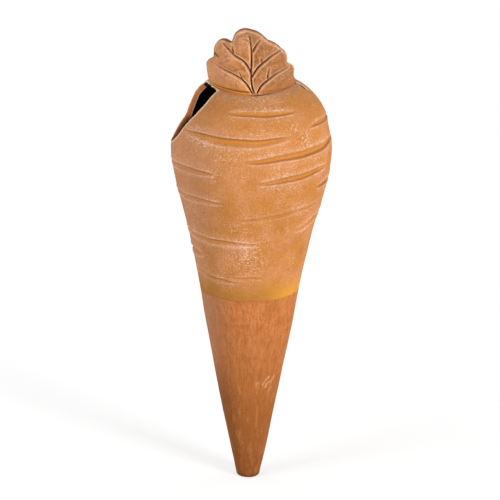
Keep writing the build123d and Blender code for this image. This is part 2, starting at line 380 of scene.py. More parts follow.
# %% The knife's way through the shoulder
# Where each line along the cut leaves the skin is found by halving the way again and again
rim = CENTRE + mouth[:, :1] * ACROSS + mouth[:, 1:] * UPHILL
near, far = np.full(len(rim), -20.0), np.full(len(rim), 22.0)
for _ in range(40):
    half = (near + far) / 2
    spot = rim + half[:, None] * WAY
    outside = np.hypot(spot[:, 0], spot[:, 1]) > outer_radius(spot[:, 2])
    far = np.where(outside, half, far)
    near = np.where(outside, near, half)
lifts = np.concatenate([
    [-24, -14, -9], np.linspace(-7, -2.5, 16), [-1.8, -1.2, -0.9, -0.7, -0.5, -0.3, 0, 0.25, 0.6, 3, 14]])
flare = np.where(lifts < 0, 0.5 * np.clip((lifts + 0.9) / 0.9, 0, 1) ** 2, 0.5 + 0.93 * lifts)
knife = (rim[None] + (near[None, :] + lifts[:, None])[..., None] * WAY
         + flare[:, None, None] * (outward[:, :1] * ACROSS + outward[:, 1:] * UPHILL)[None])
knife = tube("knife_tool", knife)
rim_top = (rim + near[:, None] * WAY)[:, 2].max()
print("knife:", len(lifts), "rings; top of the mouth's rim at height", rim_top.round(1))

# %% Cut
finish = {name: bpy.data.materials.new(name) for name in (
    "coated_clay", "cut_clay", "inner_clay", "leaf_clay", "joining_slip", "pale_floor")}
for piece, name in ((body, "coated_clay"), (hollow, "inner_clay"), (knife, "cut_clay")):
    piece.data.materials.append(finish[name])
for tool in (hollow, knife):
    cut = body.modifiers.new(tool.name, "BOOLEAN")
    cut.operation, cut.solver, cut.material_mode, cut.object = "DIFFERENCE", "EXACT", "TRANSFER", tool
seen = body.evaluated_get(bpy.context.evaluated_depsgraph_get())
body.data = bpy.data.meshes.new_from_object(seen)
body.modifiers.clear()
for tool in (hollow, knife):
    bpy.data.objects.remove(tool)
spots = corners(body.data)
print("carrot after the cuts:", len(spots), "points,", len(body.data.polygons), "faces,",
      [m.name for m in body.data.materials])

# %% [markdown]
# The materials need to know where things are. Each point of the carrot is told how much of a
# channel, lip or dark line it is, how near the sharp edge of the mouth, how deep in the dark of the
# cut, and how often the wash was dabbed there. The dabs are soft ovals on the skin.

# %% Dabs of wash, and the seam beside the leaf
# Bearing, height, half arc in degrees, half height, strength
DABS = [
    (41, 173.5, 8, 4.0, 0.75), (32, 178.2, 9, 3.2, 0.6), (11, 186.6, 20, 1.3, 0.8),
    (-37, 171.5, 10, 2.5, 1.0), (-45, 177, 7, 3, 0.6), (12, 167.6, 6, 2, 0.8), (-17, 167, 12, 5, 0.55),
    (24, 157.5, 8, 3.0, 0.7),
    (17, 152.6, 9, 3, 0.6), (-27, 156.4, 7, 3, 0.6), (-11, 131.2, 9, 2.5, 0.8), (-8, 123.9, 12, 1.5, 0.9),
    (-4, 119, 17, 9, 0.8), (4, 113, 10, 4, 0.8), (0, 190.5, 45, 2.5, 0.5), (62, 168, 12, 4, 0.4),
    (-62, 140, 16, 10, 0.35), (40, 142, 14, 4, 0.4),
    (160, 172, 20, 4, 0.7), (205, 160, 16, 5, 0.7), (140, 140, 20, 5, 0.6), (210, 130, 18, 4, 0.7),
    (170, 118, 20, 4, 0.6),
]
# Small gaps in the seam at the right end of the leaf, painted dark as shade, and the pale burr
# behind them, painted as a highlight, each from one spot to another on the plan
NICKS = [((19.0, -4.4), (19.5, -4.8)), ((22.4, -4.1), (23.7, -4.9))]
BURR = ((19.6, -2.2), (25.2, -2.4))


def near_line(points, start, stop, wide, deep):
    """1 on the crown under a straight line on the plan, fading with a bell of that width and depth."""
    start, way = np.array(start), np.array(stop) - np.array(start)
    share = np.clip((points[:, :2] - start) @ way / (way @ way), 0, 1)
    off = points[:, :2] - start - share[:, None] * way
    return bell(off[:, 0], wide) * bell(off[:, 1], deep) * (points[:, 2] > 188)


turn = np.arctan2(spots[:, 0], -spots[:, 1])
wiped = np.zeros(len(spots))
for middle, level, arc, tall, much in DABS:
    off = (np.degrees(turn) - middle + 180) % 360 - 180
    wiped = np.maximum(wiped, much * bell(off, arc) * bell(spots[:, 2], tall, level))
gap = sum(near_line(spots, *nick, 0.6, 1.3) for nick in NICKS)
print("dabs:", len(DABS), "on", int((wiped > 0.3).sum()), "points; nicks on", int((gap > 0.3).sum()))


# %% Edges of the mouth
def mouth_edge(points):
    """How much each point is on an edge of the mouth, and how much of the cut lies in the dark. The
    outer edge is found by the distance outside the knife's outline, the inner one by the depth under
    the skin. The cut is dark under the brow and deep down at its lower end."""
    plane = np.stack([(points - CENTRE) @ ACROSS, (points - CENTRE) @ UPHILL], axis=-1)
    edge, dark = np.zeros(len(points)), np.zeros(len(points))
    close = np.flatnonzero((np.abs(plane).max(axis=1) < 26) & ((points - CENTRE) @ WAY > -22))
    apart = plane[close][:, None] - mouth[None]
    nearest = np.hypot(apart[..., 0], apart[..., 1]).argmin(axis=1)
    off = (apart[np.arange(len(close)), nearest] * outward[nearest]).sum(axis=-1)
    under = (outer_radius(points[close, 2]) - np.hypot(points[close, 0], points[close, 1]))
    under *= np.interp(points[close, 2], line_z, line_steep)
    outer = smooth(0.03, 0.3, off) * (1 - smooth(0.55, 1.2, off)) * (under < 1.2)
    outer *= (plane[close, 0] > -1) | (plane[close, 1] > 8.5)
    x, y = plane[close].T
    brow = (mouth[nearest, 1] > 9.0) & (mouth[nearest, 0] < 15.0)
    low = smooth(0.9, 1.8, under) * smooth(-6, -11, y)
    high = np.maximum(brow, smooth(8.2, 9.4, y) * (x < 0))
    dark[close] = np.maximum(low, smooth(0.0, 0.3, under) * high)
    inner = 0.4 * smooth(1.85, 2.25, under) * (np.abs(off) < 0.15) * ~brow
    inner = inner * smooth(-9, -5, y) * smooth(9, 7.5, y)
    edge[close] = np.maximum(outer, inner)
    return edge, dark


# The pale along the mouth's rim is a painted highlight, and the dark in the cut is painted shade
edge, dark = mouth_edge(spots)
edge = np.maximum(edge, near_line(spots, *BURR, 0.7, 0.9) * (1 - gap))
print("mouth: edge on", int((edge > 0.3).sum()), "points, dark on", int((dark > 0.3).sum()))

# %% Marks for the materials
# Half axes of the oval on which the leaf stands, and about how far that is from the axis
LEAF_HALF, LEAF_FRONT, LEAF_ROUND = 19.2, 23.5, 21.5
_, channel, lip, line = creases(turn, spots[:, 2])
beside = LEAF_ROUND * (np.hypot(spots[:, 0] / LEAF_HALF, spots[:, 1] / LEAF_FRONT) - 1)
front = (spots[:, 2] > 186) * smooth(4, -6, spots[:, 1])
collar = bell(np.clip(beside, 0, None), 3.2) * front
left = smooth(1, -3, spots[:, 0])
# A thin dark line of painted shade where the leaf's foot meets the crown
line = np.maximum(line, bell(beside, 0.45, 0.25) * front * (1 - 0.8 * left))
channel = np.maximum(channel, bell(beside, 1.3) * front * left)
marks = dict(channel=channel, lip=lip, line=line, edge=edge, wiped=wiped, collar=collar, dark=dark, gap=gap)
for name, values in marks.items():
    tell(body.data, name, values)
    print(name, "on", int((values > 0.3).sum()), "points")
body.data.shade_smooth()
body.data.set_sharp_from_angle(angle=math.radians(38))

# %% [markdown]
# ## The raw spike
# The cone that goes into the soil has no coat. It was turned as one profile: a blunt tip with a
# round corner, a slightly bowed side, the step and the spigot that lap into the carrot, and the
# bore. A scraper pulled down the wet side left shallow flutes, which are lumps drawn out along Z.

# %% Spike
SPIGOT, SPIGOT_BORE, SPIGOT_TOP = 21.41, 19.71, 102.5
TIP_RADIUS, TIP_ROUND, WIDENING, BOW = 5.35, 1.6, 17.95, 2.3
BORE = [(12.0, 58.3), (5.0, 18.2), (3.2, 10.0), (1.6, 9.0), (0.3, 9.0)]
side_z = np.linspace(TIP_ROUND, JOINT, 190)
share = side_z / JOINT
side_r = TIP_RADIUS + WIDENING * share + BOW * share * (1 - share)
bend = np.linspace(-math.pi / 2, 0, 10)[:-1]
corner = side_r[0] - TIP_ROUND
base = np.linspace(0.3, corner, 8)[:-1]
outline = np.concatenate([
    np.stack([base, 0 * base], axis=-1),
    np.stack([corner + TIP_ROUND * np.cos(bend), TIP_ROUND + TIP_ROUND * np.sin(bend)], axis=-1),
    np.stack([side_r, side_z], axis=-1),
    [(SPIGOT, JOINT), (SPIGOT, SPIGOT_TOP), (SPIGOT_BORE, SPIGOT_TOP)] + BORE])
spokes = even_spokes(280)
cone = turned(outline, spokes)
rows_out = len(base) + len(bend) + len(side_z)
wet = np.zeros(len(outline))
wet[:rows_out] = smooth(0.5, 6, outline[:rows_out, 1]) * (1 - smooth(88, JOINT, outline[:rows_out, 1]))
drawn = cone * (1, 1, 0.09)
rub = wet[:, None] * (0.30 * lumps(cone, 21, 5) + 0.10 * lumps(drawn, 3.4, 2)
                      + 0.05 * lumps(cone * (1, 1, 0.3), 1.6, 9))
cone[..., :2] += rub[..., None] * spokes[None]
# The tip leans a little to the right
cone[:rows_out, :, 0] += 0.5 * (1 - cone[:rows_out, :, 2] / JOINT) ** 2
spike = tube("raw_spike", cone)
print("spike:", len(outline), "rings of", len(spokes), "points")

# %% Scratches
# Pale scratches on its right, their pale a painted highlight on the burrs, each from one bearing in
# degrees and height to another, and how pale
SCRATCHES = [
    (32, 53.7, 37, 54.6, 1.3), (26, 51.1, 32, 53.0, 0.7), (32.3, 49.5, 34.4, 51.2, 1.3),
    (34.4, 51.2, 39, 52.0, 1.0), (43.4, 51.5, 48, 54.4, 0.9), (41, 47.2, 47, 48.9, 0.6),
    (14, 51.7, 17, 52.5, 0.7),
]
MM_PER_DEGREE = 0.25
bearings = np.degrees(np.arctan2(cone[..., 0], -cone[..., 1]))
scratch = np.zeros(cone.shape[:2])
for from_turn, low, to_turn, high, pale in SCRATCHES:
    share = np.clip((cone[..., 2] - low) / (high - low), 0, 1)
    gap = np.hypot(MM_PER_DEGREE * (bearings - from_turn - share * (to_turn - from_turn)),
                   cone[..., 2] - low - share * (high - low))
    scratch = np.maximum(scratch, pale * bell(gap, 0.45))
scratch[rows_out:] = 0
tell(spike.data, "lip", np.append(scratch, (0, 0)))
spike.data.set_sharp_from_angle(angle=math.radians(50))
spike.data.materials.append(finish["coated_clay"])
print("scratches:", len(SCRATCHES), "on", int((scratch > 0.3).sum()), "points")

# %% [markdown]
# ## The leaf
# The leaf was cut from a sheet of clay and pressed onto the front of the crown, so it follows an
# upright oval that spreads towards its top. It is easiest to draw flat, as the sheet was, and then
# wrap: `side` is the distance round the oval and `up` the height above the foot. The outline is
# five springy lobes. From a middle point, rays go out to the outline, and rings along the rays fill
# the leaf: outwards over the front, round the margin, and back over the rear.

# %% From the flat sheet to the crown
LEAF_HIGH, LEAF_BEND, LEAF_THICK = 30.4, 22.0, 3.6
SPREAD, LEAN = math.radians(13), math.radians(6)
FOOT = float(crown_z(LEAF_FRONT))
print("leaf: foot at height", round(FOOT, 2))


def flat_leaf(spots):
    """Shares of the leaf's half width and of its height, laid out flat in millimetres."""
    across, up = np.asarray(spots, float).T
    return np.stack([LEAF_BEND * np.arcsin(across), LEAF_HIGH * up], axis=-1)


def wrap(side, up, lift):
    """A flat spot wrapped round the spreading oval, and lifted off it along its normal."""
    half = LEAF_HALF + up * math.tan(SPREAD)
    front = LEAF_FRONT + up * math.tan(LEAN)
    x = np.sin(side / LEAF_BEND)
    y = -np.cos(side / LEAF_BEND)
    normal = unit(np.stack([x / half, y / front, -0.10 / front + 0 * x], axis=-1))
    return np.stack([half * x, front * y, FOOT + up], axis=-1) + lift[..., None] * normal


def crown_height(side, sink):
    """Height above the foot at which the wrapped leaf meets the crown, found by stepping."""
    up = np.zeros_like(side)
    for _ in range(12):
        p = wrap(side, up, np.zeros_like(side))
        up = crown_z(np.hypot(p[:, 0], p[:, 1])) - FOOT
    return up - sink


# %% Outline of the leaf, flat
# Shares of the half width and the height, one lobe to a row, from the lower left end clockwise
LOBES = [
    [(-0.975, 0.13), (-0.96, 0.28), (-0.95, 0.375), (-0.89, 0.463), (-0.79, 0.52)],
    [(-0.79, 0.52), (-0.768, 0.62), (-0.703, 0.73), (-0.638, 0.79), (-0.558, 0.82), (-0.435, 0.793),
     (-0.38, 0.807)],
    [(-0.38, 0.807), (-0.333, 0.90), (-0.247, 0.976), (-0.147, 1.0), (-0.01, 0.985), (0.11, 0.945),
     (0.206, 0.883), (0.281, 0.829)],
    [(0.281, 0.829), (0.423, 0.779), (0.545, 0.70), (0.641, 0.623), (0.692, 0.52), (0.694, 0.471)],
    [(0.694, 0.471), (0.80, 0.419), (0.855, 0.345), (0.869, 0.262), (0.93, 0.17), (0.985, 0.11)],
]
rim = np.concatenate([springy(flat_leaf(lobe), 200)[:-1] for lobe in LOBES])
left_end, right_end = flat_leaf([LOBES[0][0], LOBES[-1][-1]])
foot_side = np.linspace(right_end[0], left_end[0], 260)
foot_up = crown_height(foot_side, 0.5)
rim = closed_walk(np.concatenate([rim, right_end[None], np.stack([foot_side, foot_up], axis=-1)]), 560)
rim += 0.12 * wobble(rim)
print("leaf outline:", len(rim), "points")

# %% [markdown]
# The veins were cut with a narrow point: a deep groove with a burr each side, whose pale is a
# painted highlight. The two halves of the leaf lean towards the midrib like an open book, the
# panels between the veins are a little puffed, and the outer lobes curl away from the crown.

# %% Where the veins run
# Points of each vein on the same shares, from its root to its tip, and its depth
VEINS = [
    ([(0.061, 0.0), (-0.022, 0.172), (-0.034, 0.313), (-0.026, 0.543), (-0.037, 0.717),
      (-0.069, 0.874)], 1.0),
    ([(-0.01, 0.26), (0.117, 0.402), (0.248, 0.505), (0.415, 0.621), (0.516, 0.67)], 0.9),
    ([(0.103, 0.0), (0.211, 0.134), (0.352, 0.236), (0.489, 0.308), (0.701, 0.395)], 0.9),
    ([(-0.03, 0.31), (-0.095, 0.40), (-0.184, 0.494), (-0.338, 0.583), (-0.41, 0.638),
      (-0.526, 0.75)], 0.9),
    ([(0.022, 0.0), (-0.099, 0.117), (-0.223, 0.21), (-0.391, 0.297), (-0.565, 0.352),
      (-0.758, 0.42)], 0.9),
    ([(0.007, 0.649), (0.058, 0.736), (0.127, 0.832)], 0.75),
    ([(-0.048, 0.735), (-0.085, 0.796), (-0.182, 0.836)], 0.55),
    ([(0.207, 0.462), (0.179, 0.507), (0.167, 0.551)], 0.6),
    ([(0.317, 0.256), (0.316, 0.327), (0.329, 0.405)], 0.7),
    ([(-0.361, 0.634), (-0.367, 0.677), (-0.368, 0.721)], 0.65),
    ([(-0.241, 0.235), (-0.255, 0.288), (-0.276, 0.337)], 0.5),
]
# The fold in the notch on the left, painted dark as shade
FOLD = [(-0.80, 0.60), (-0.73, 0.567), (-0.655, 0.548)]
print("veins:", len(VEINS))

# %% Grooves and burrs
# Rings from the heart of the leaf to its margin, close together at the margin
RINGS, HEART = 130, np.array([0.0, 13.0])
reach = (1 - (1 - np.linspace(0.01, 1, RINGS)) ** 1.5)[:, None]
laid_out = HEART + reach[..., None] * (rim - HEART)[None]
side, up = laid_out[..., 0], laid_out[..., 1]
margin = (1 - reach) * np.linalg.norm(rim - HEART, axis=-1)[None]


def to_line(spots, samples):
    """Least distance of each place of the leaf from a springy line, and that spot's share of the line."""
    line = springy(flat_leaf(spots), samples)
    apart = np.hypot(side[..., None] - line[:, 0], up[..., None] - line[:, 1])
    return apart.min(axis=-1), apart.argmin(axis=-1) / (samples - 1)


groove, ridge, away = np.zeros_like(side), np.zeros_like(side), np.full_like(side, 99.0)
for spots, deep in VEINS:
    gap, share = to_line(spots, 80)
    fade = 1 - 0.5 * share**2
    groove = np.maximum(groove, deep * fade * bell(gap, 0.24 + 0.26 * deep * fade))
    ridge = np.maximum(ridge, deep * fade * bell(gap - 0.45, 0.32, 0.4 * deep))
    if deep > 0.8:
        away = np.minimum(away, gap)
ridge = ridge * (1 - np.clip(groove, 0, 1))
gap, share = to_line(FOLD, 60)
fold = bell(gap, 1.45 - share)
print("grooves on", int((groove > 0.3).sum()), "points")

# %% The leaf's form
sheet = wrap(side, up, 0 * side)
across = np.sin(side / LEAF_BEND)
midrib = springy(flat_leaf(VEINS[0][0]), 80)
from_rib = np.abs(side - np.interp(up, midrib[:, 1], midrib[:, 0]))
puff = smooth(0, 3.0, away) * smooth(0, 4.5, margin)
book = 1.8 * (smooth(0, 9, from_rib) - 1) * smooth(0, 6, margin)
above_foot = up - np.interp(side, foot_side[::-1], foot_up[::-1])
tuck = bell(above_foot, 0.6, 1.7) * smooth(0.06, -0.12, across)
form = (puff + book - 0.8 * tuck - 0.9 * bell(above_foot, 1.7) + 0.34 * ridge - 1.3 * groove - fold
        + 0.25 * bell(margin, 0.7, 1.0))
form += (0.35 * lumps(sheet, 11, 6) * smooth(0, 9, up) + 0.22 * lumps(sheet, 4.2, 9) * smooth(0, 4, margin)
         + 0.06 * lumps(sheet, 1.5, 1))
curl = np.where(side < 0, 0.2, 0.9) * smooth(0.70, 0.95, np.abs(across)) * smooth(0, 6, above_foot)
round_off = np.sqrt(1 - (1 - np.clip(margin / 1.3, 0, 1)) ** 2)
front_lift = curl - LEAF_THICK / 4 + round_off * (LEAF_THICK / 4 + form)
rear_lift = curl - LEAF_THICK / 4 - round_off * (LEAF_THICK * 3 / 4 + 0.2 * lumps(sheet, 7, 2))
# The rear is smooth, so a few of the rings are enough there
REAR = [127, 124, 120, 114, 106, 96, 84, 72, 60, 48, 36, 24, 12, 0]
grid = np.concatenate([wrap(side, up, front_lift), wrap(side, up, rear_lift)[REAR]])
leaf = tube("leaf_blade", grid)
leaf.data.materials.append(finish["leaf_clay"])
print("leaf:", grid.shape[0], "rings of", grid.shape[1], "points; deepest vein", groove.max().round(2), "mm")

# %% The leaf's marks
# Only the front is marked. The margin is painted dark as shade, and more of it on the left, where it turns
# away
rim_wide = 0.4 + 1.2 * smooth(-0.60, -0.80, across) * smooth(1, 4, above_foot)
turned_away = 0.9 * smooth(-0.915, -0.965, across) * smooth(1, 4, above_foot)
for name, front in (
        ("channel", np.maximum(np.maximum(groove, 0.75 * fold), 0.75 * tuck)),
        ("lip", ridge),
        ("collar", bell(above_foot, 3.1)),
        ("line", np.maximum(bell(margin, rim_wide), turned_away)),
        ("edge", bell(margin, 0.6, 1.1) * smooth(1.5, 4.0, above_foot))):
    values = np.zeros(grid.shape[:2])
    values[:RINGS] = np.clip(front, 0, 1)
    tell(leaf.data, name, np.append(values, (0, 0)))
    print(name, "on", int((values > 0.3).sum()), "points")

# %% [markdown]
# A bead of joining slip was wiped round the leaf's foot. It is a thin rope laid along the foot, in
# front, round the right end, along the rear and round the left end.

# %% Bead of slip
STEPS, BENDS = 150, 12
run = np.linspace(left_end[0], right_end[0], STEPS)
swing = np.linspace(0, math.pi, BENDS + 2)[1:-1]
bead_side = np.concatenate([run, np.full(BENDS, right_end[0]), run[::-1], np.full(BENDS, left_end[0])])
bead_out = np.concatenate([np.ones(STEPS), np.cos(swing), -np.ones(STEPS), -np.cos(swing)])
bead_end = np.concatenate([np.zeros(STEPS), np.sin(swing), np.zeros(STEPS), -np.sin(swing)])
bead_up = crown_height(bead_side, 0.0)
middle = wrap(bead_side, bead_up, -LEAF_THICK / 2 + bead_out * (LEAF_THICK / 2 + 0.15))
middle[:, 0] += 1.6 * bead_end
middle[:, 2] = crown_z(np.hypot(middle[:, 0], middle[:, 1]))
out = unit(np.cross(unit(step_round(middle)), (0.0, 0.0, 1.0)))
spin = np.linspace(0, 2 * math.pi, 12, endpoint=False)
thick = (0.42 + 0.1 * lumps(middle, 3.0)) * (0.45 + 0.55 * smooth(-17, -13, middle[:, 0]))
rope = middle[:, None] + thick[:, None, None] * (
    np.cos(spin)[:, None] * out[:, None] + 0.75 * np.sin(spin)[:, None] * np.array([0, 0, 1.0]))
print("bead:", len(middle), "steps of", len(spin), "points")
bead = tube("leaf_bead", rope, loop=True)
bead.data.materials.append(finish["joining_slip"])

# %% [markdown]
# ## Who rides where
# Fired clay does not move, so every piece rides the one body of the imported model, and each takes
# the place of the plain solid that it stands for. The ring of slip between spike and carrot keeps
# its own solid.

# %% Let the pieces ride the model's body
for piece, node, slot in (
        (body, "carrot_body", "slip_coat"), (spike, "porous_spike", "raw_clay"),
        (leaf, "crown_leaf", "leaf_coat"), (bead, "leaf_lute", "lute")):
    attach(piece, "root")
    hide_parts(node)
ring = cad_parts["spike_lute"]
ring.data.materials.clear()
ring.data.materials.append(finish["coated_clay"])

# %% [markdown]
# ## Finishes
# Terracotta is never one colour. Every finish below is mixed from layers that depend on the place
# in space, in metres, so they run on from piece to piece. A small helper adds nodes and links them:
# `grain` is a noise with a grain size in millimetres, `rise` an S-shaped step, and `mix` lays one
# colour over another.


# %% Colours as on a screen
def paint(red, green, blue):
    """A colour read off a screen, from 0 to 255, as the linear colour that Blender computes with."""
    c = np.array([red, green, blue]) / 255
    return (*np.where(c <= 0.04045, c / 12.92, ((c + 0.055) / 1.055) ** 2.4).tolist(), 1.0)


# %% A helper for node trees
class Layers:
    """Adds nodes to one material and links them."""

    def __init__(self, material):
        material.use_nodes = True
        self.tree = material.node_tree
        self.tree.nodes.clear()
        self.place = self.node("ShaderNodeTexCoord").outputs["Object"]
        split = self.node("ShaderNodeSeparateXYZ", {0: self.place})
        self.x, self.y, self.z = split.outputs

    def node(self, kind, values=None, **settings):
        """A new node: each of its inputs gets a link from a socket, or a constant of its own."""
        made = self.tree.nodes.new(kind)
        for name, value in settings.items():
            setattr(made, name, value)
        for key, value in (values or {}).items():
            if isinstance(value, bpy.types.NodeSocket):
                self.tree.links.new(value, made.inputs[key])
            else:
                made.inputs[key].default_value = value
        return made

    def grain(self, size, detail=2.0, rough=0.5, stretch=(1, 1, 1), shift=0.0):
        """Noise about 0.5 with grains of a size in millimetres, on stretched and shifted places."""
        where = self.node("ShaderNodeMapping", {
            "Vector": self.place, "Scale": stretch, "Location": (shift, shift, shift)})
        return self.node("ShaderNodeTexNoise", {
            "Vector": where.outputs[0], "Scale": 1 / (size * MM), "Detail": detail,
            "Roughness": rough}).outputs[0]

    def sum(self, first, *terms):
        """The first value plus each further value times its weight."""
        for value, weight in terms:
            first = self.node(
                "ShaderNodeMath", {0: value, 1: weight, 2: first}, operation="MULTIPLY_ADD").outputs[0]
        return first

    def times(self, first, second):
        """The product of two values."""
        return self.node("ShaderNodeMath", {0: first, 1: second}, operation="MULTIPLY").outputs[0]

    def rise(self, value, low, high, start=0.0, stop=1.0):
        """From start, where the value is low, by an S-shaped rise to stop, where it is high."""
        return self.node("ShaderNodeMapRange", {
            "Value": value, "From Min": low, "From Max": high, "To Min": start, "To Max": stop},
            interpolation_type="SMOOTHSTEP").outputs[0]

    def mix(self, share, under, over):
        """A share of the colour over, and the rest of the colour under."""
        return self.node("ShaderNodeMix", {0: share, 6: under, 7: over}, data_type="RGBA").outputs[2]

    def told(self, name):
        """A number that the mesh keeps for each point."""
        return self.node("ShaderNodeAttribute", attribute_name=name).outputs["Fac"]

    def layered(self, colour, *layers):
        """Colours laid one over the other, each by the S-shaped rise of a value."""
        for value, low, high, start, stop, over in layers:
            colour = self.mix(self.rise(value, low, high, start, stop), colour, over)
        return colour

    def marked(self, colour, *layers):
        """Colours laid one over the other, each by its share of a number that the mesh keeps."""
        for name, share, over in layers:
            colour = self.mix(self.times(self.told(name), share), colour, over)
        return colour

    def clay(self, colour, relief, depth, rough=0.9, strength=0.6, dust=0.0):
        """Matt clay: the colour, a relief of that depth in millimetres as bump, and a dusty sheen."""
        bump = self.node("ShaderNodeBump", {"Height": relief, "Distance": depth * MM, "Strength": strength})
        shader = self.node("ShaderNodeBsdfPrincipled", {
            "Base Color": colour, "Roughness": rough, "Specular IOR Level": 0.2, "Normal": bump.outputs[0],
            "Sheen Weight": dust, "Sheen Roughness": 0.5, "Sheen Tint": (1.0, 0.86, 0.78, 1)})
        self.tree.links.new(shader.outputs[0], self.node("ShaderNodeOutputMaterial").inputs[0])


# %% [markdown]
# ### Coat and raw clay
# The carrot was dipped in ochre slip down to a wavy line, and a pale pinkish wash was then dabbed
# over it. The wash catches on high places, which are the lips of the creases and the tooth of the
# surface, and misses the channels; on the lips the pale is partly a painted highlight. Under the
# line the spike is bare terracotta, scraped lengthwise, lighter near the top and browner towards
# the tip.

# %% Colours of coat and raw clay
ORANGE, OCHRE, BROWN = paint(213, 143, 89), paint(203, 131, 60), paint(178, 112, 57)
# The dark brown of the lines is painted shade, under crease edges and at the leaf's foot
PINK, CHANNEL, SHADE_LINE = paint(206, 152, 118), paint(204, 133, 50), paint(132, 76, 30)
WASH, DAB, GAP_SHADE = paint(238, 192, 164), paint(248, 204, 168), paint(52, 28, 12)
# The cream is a painted highlight along the mouth's rim and the burr
CROWN_SHADE, COLLAR, EDGE_HIGHLIGHT = paint(182, 118, 57), paint(188, 150, 122), paint(252, 230, 202)
OLIVE, GOLD = paint(182, 120, 50), paint(226, 156, 56)
RAW_TOP, RAW_MID, RAW_LOW = paint(208, 126, 68), paint(190, 114, 58), paint(160, 92, 39)
RAW_TIP, TIP_SHADE, SCRATCH_HIGHLIGHT = paint(142, 77, 31), paint(88, 46, 18), paint(246, 188, 138)
RAW_PALE, RAW_DARK, RAW_LEFT_HIGHLIGHT = paint(222, 148, 92), paint(148, 82, 34), paint(190, 142, 116)
RAW_OLIVE, RAW_SHADE = paint(172, 110, 48), paint(124, 68, 28)


# %% Coat
def coat_colour(k):
    """Orange and ochre in wide patches, browner clouds, pinker on the left, clean channels with a dark
    line, and wash in fine specks, dense on lips and dabs."""
    cloud = k.grain(5.0, 3, 0.6, shift=0.3)
    tooth = k.grain(0.62, 2, 0.65, (0.8, 0.8, 1))
    colour = k.mix(k.rise(k.grain(12, 4, 0.6), 0.38, 0.62), ORANGE, OCHRE)
    # Higher up, the crown is painted darker, as shade
    colour = k.layered(
        colour, (cloud, 0.5, 0.75, 0.0, 0.5, BROWN), (k.x, -0.034, -0.004, 0.55, 0.0, PINK),
        (tooth, 0.30, 0.54, 0.6, 0.0, BROWN), (k.z, 0.170, 0.190, 0.0, 0.6, CROWN_SHADE))
    colour = k.marked(colour, ("collar", 0.7, COLLAR))
    catch = k.sum(tooth, (k.grain(7, 3, shift=0.6), 0.35), (k.told("lip"), 0.16), (k.told("wiped"), 0.12),
                  (k.told("channel"), -0.5))
    colour = k.mix(k.rise(catch, 0.77, 0.97, 0.0, 0.7), colour, WASH)
    speck = k.grain(0.72, 2, 0.6, (0.8, 0.8, 1), 0.2)
    colour = k.mix(k.times(k.rise(speck, 0.42, 0.52, 0.55, 0.0), k.told("wiped")), colour, BROWN)
    colour = k.mix(k.times(k.rise(speck, 0.53, 0.64, 0.0, 0.85), k.told("wiped")), colour, DAB)
    # On the lips the pale wash also stands for a painted highlight
    colour = k.marked(
        colour, ("lip", 0.3, WASH), ("channel", 0.65, CHANNEL), ("line", 0.6, SHADE_LINE), ("edge", 0.8, EDGE_HIGHLIGHT))
    # The nicks are painted dark as the shade in the gaps
    colour = k.mix(k.rise(k.told("gap"), 0.25, 0.75, 0.0, 0.95), colour, GAP_SHADE)
    return colour, k.sum(tooth, (cloud, 0.6), (k.times(speck, k.told("wiped")), 0.8))


# %% Raw clay
def raw_colour(k):
    """Terracotta that darkens to the tip, with long fibres and wider scrapes drawn out along Z, and
    faint wavy wipes near the top. Its left is greyer above and darker below."""
    colour = k.mix(k.rise(k.z, 0.0, 0.034), RAW_TIP, RAW_LOW)
    colour = k.mix(k.rise(k.z, 0.028, 0.066), colour, RAW_MID)
    colour = k.mix(k.rise(k.z, 0.060, 0.095), colour, RAW_TOP)
    fibre = k.grain(0.8, 2, 0.6, (1, 1, 0.035))
    scrape = k.grain(2.2, 3, 0.6, (1, 1, 0.045), 0.4)
    wipe = k.times(k.grain(3.5, 3, 0.6, (0.45, 0.45, 1.3), 0.7), k.rise(k.z, 0.055, 0.080))
    colour = k.layered(
        colour, (scrape, 0.46, 0.7, 0.0, 0.3, RAW_PALE), (scrape, 0.32, 0.5, 0.35, 0.0, RAW_OLIVE),
        (fibre, 0.44, 0.64, 0.0, 0.42, RAW_DARK), (wipe, 0.42, 0.66, 0.0, 0.22, RAW_DARK))
    # On the left the cone is painted paler and greyer above, as a highlight, and darker below, as shade
    left = k.times(k.rise(k.x, -0.022, -0.006, 0.5, 0.0), k.rise(k.z, 0.020, 0.080, 0.2, 1.0))
    colour = k.mix(left, colour, RAW_LEFT_HIGHLIGHT)
    under = k.times(k.rise(k.x, -0.014, -0.004, 0.6, 0.0), k.rise(k.z, 0.034, 0.066, 1.0, 0.0))
    colour = k.mix(under, colour, RAW_SHADE)
    # The scratches are painted pale as highlights on their burrs
    colour = k.marked(colour, ("lip", 0.5, SCRATCH_HIGHLIGHT))
    # The lowest few millimetres of the tip are painted dark as shade
    colour = k.mix(k.rise(k.z, 0.0004, 0.0032, 0.65, 0.0), colour, TIP_SHADE)
    return colour, k.sum(fibre, (scrape, 0.8))


# %% Coat over raw clay
k = Layers(finish["coated_clay"])
coat, coat_relief = coat_colour(k)
raw, raw_relief = raw_colour(k)
edge = k.sum(k.z, (k.grain(16, 2, 0.4, (1, 1, 0)), -0.0018), (k.grain(2.2, 2), -0.0006))
covered = k.rise(edge, 0.0938, 0.0943)
patchy = k.rise(k.grain(6, 3, shift=0.9), 0.3, 0.6, 0.7, 1.0)
band = k.times(k.rise(edge, 0.0945, 0.1065, 1.0, 0.0), patchy)
coat = k.mix(band, coat, k.mix(k.rise(k.x, 0.002, 0.020), OLIVE, GOLD))
colour = k.mix(covered, raw, coat)
k.clay(colour, k.sum(coat_relief, (covered, 0.6), (raw_relief, 0.5)), 0.5, strength=0.9, dust=0.04)
print("coat and raw clay:", len(k.tree.nodes), "nodes")
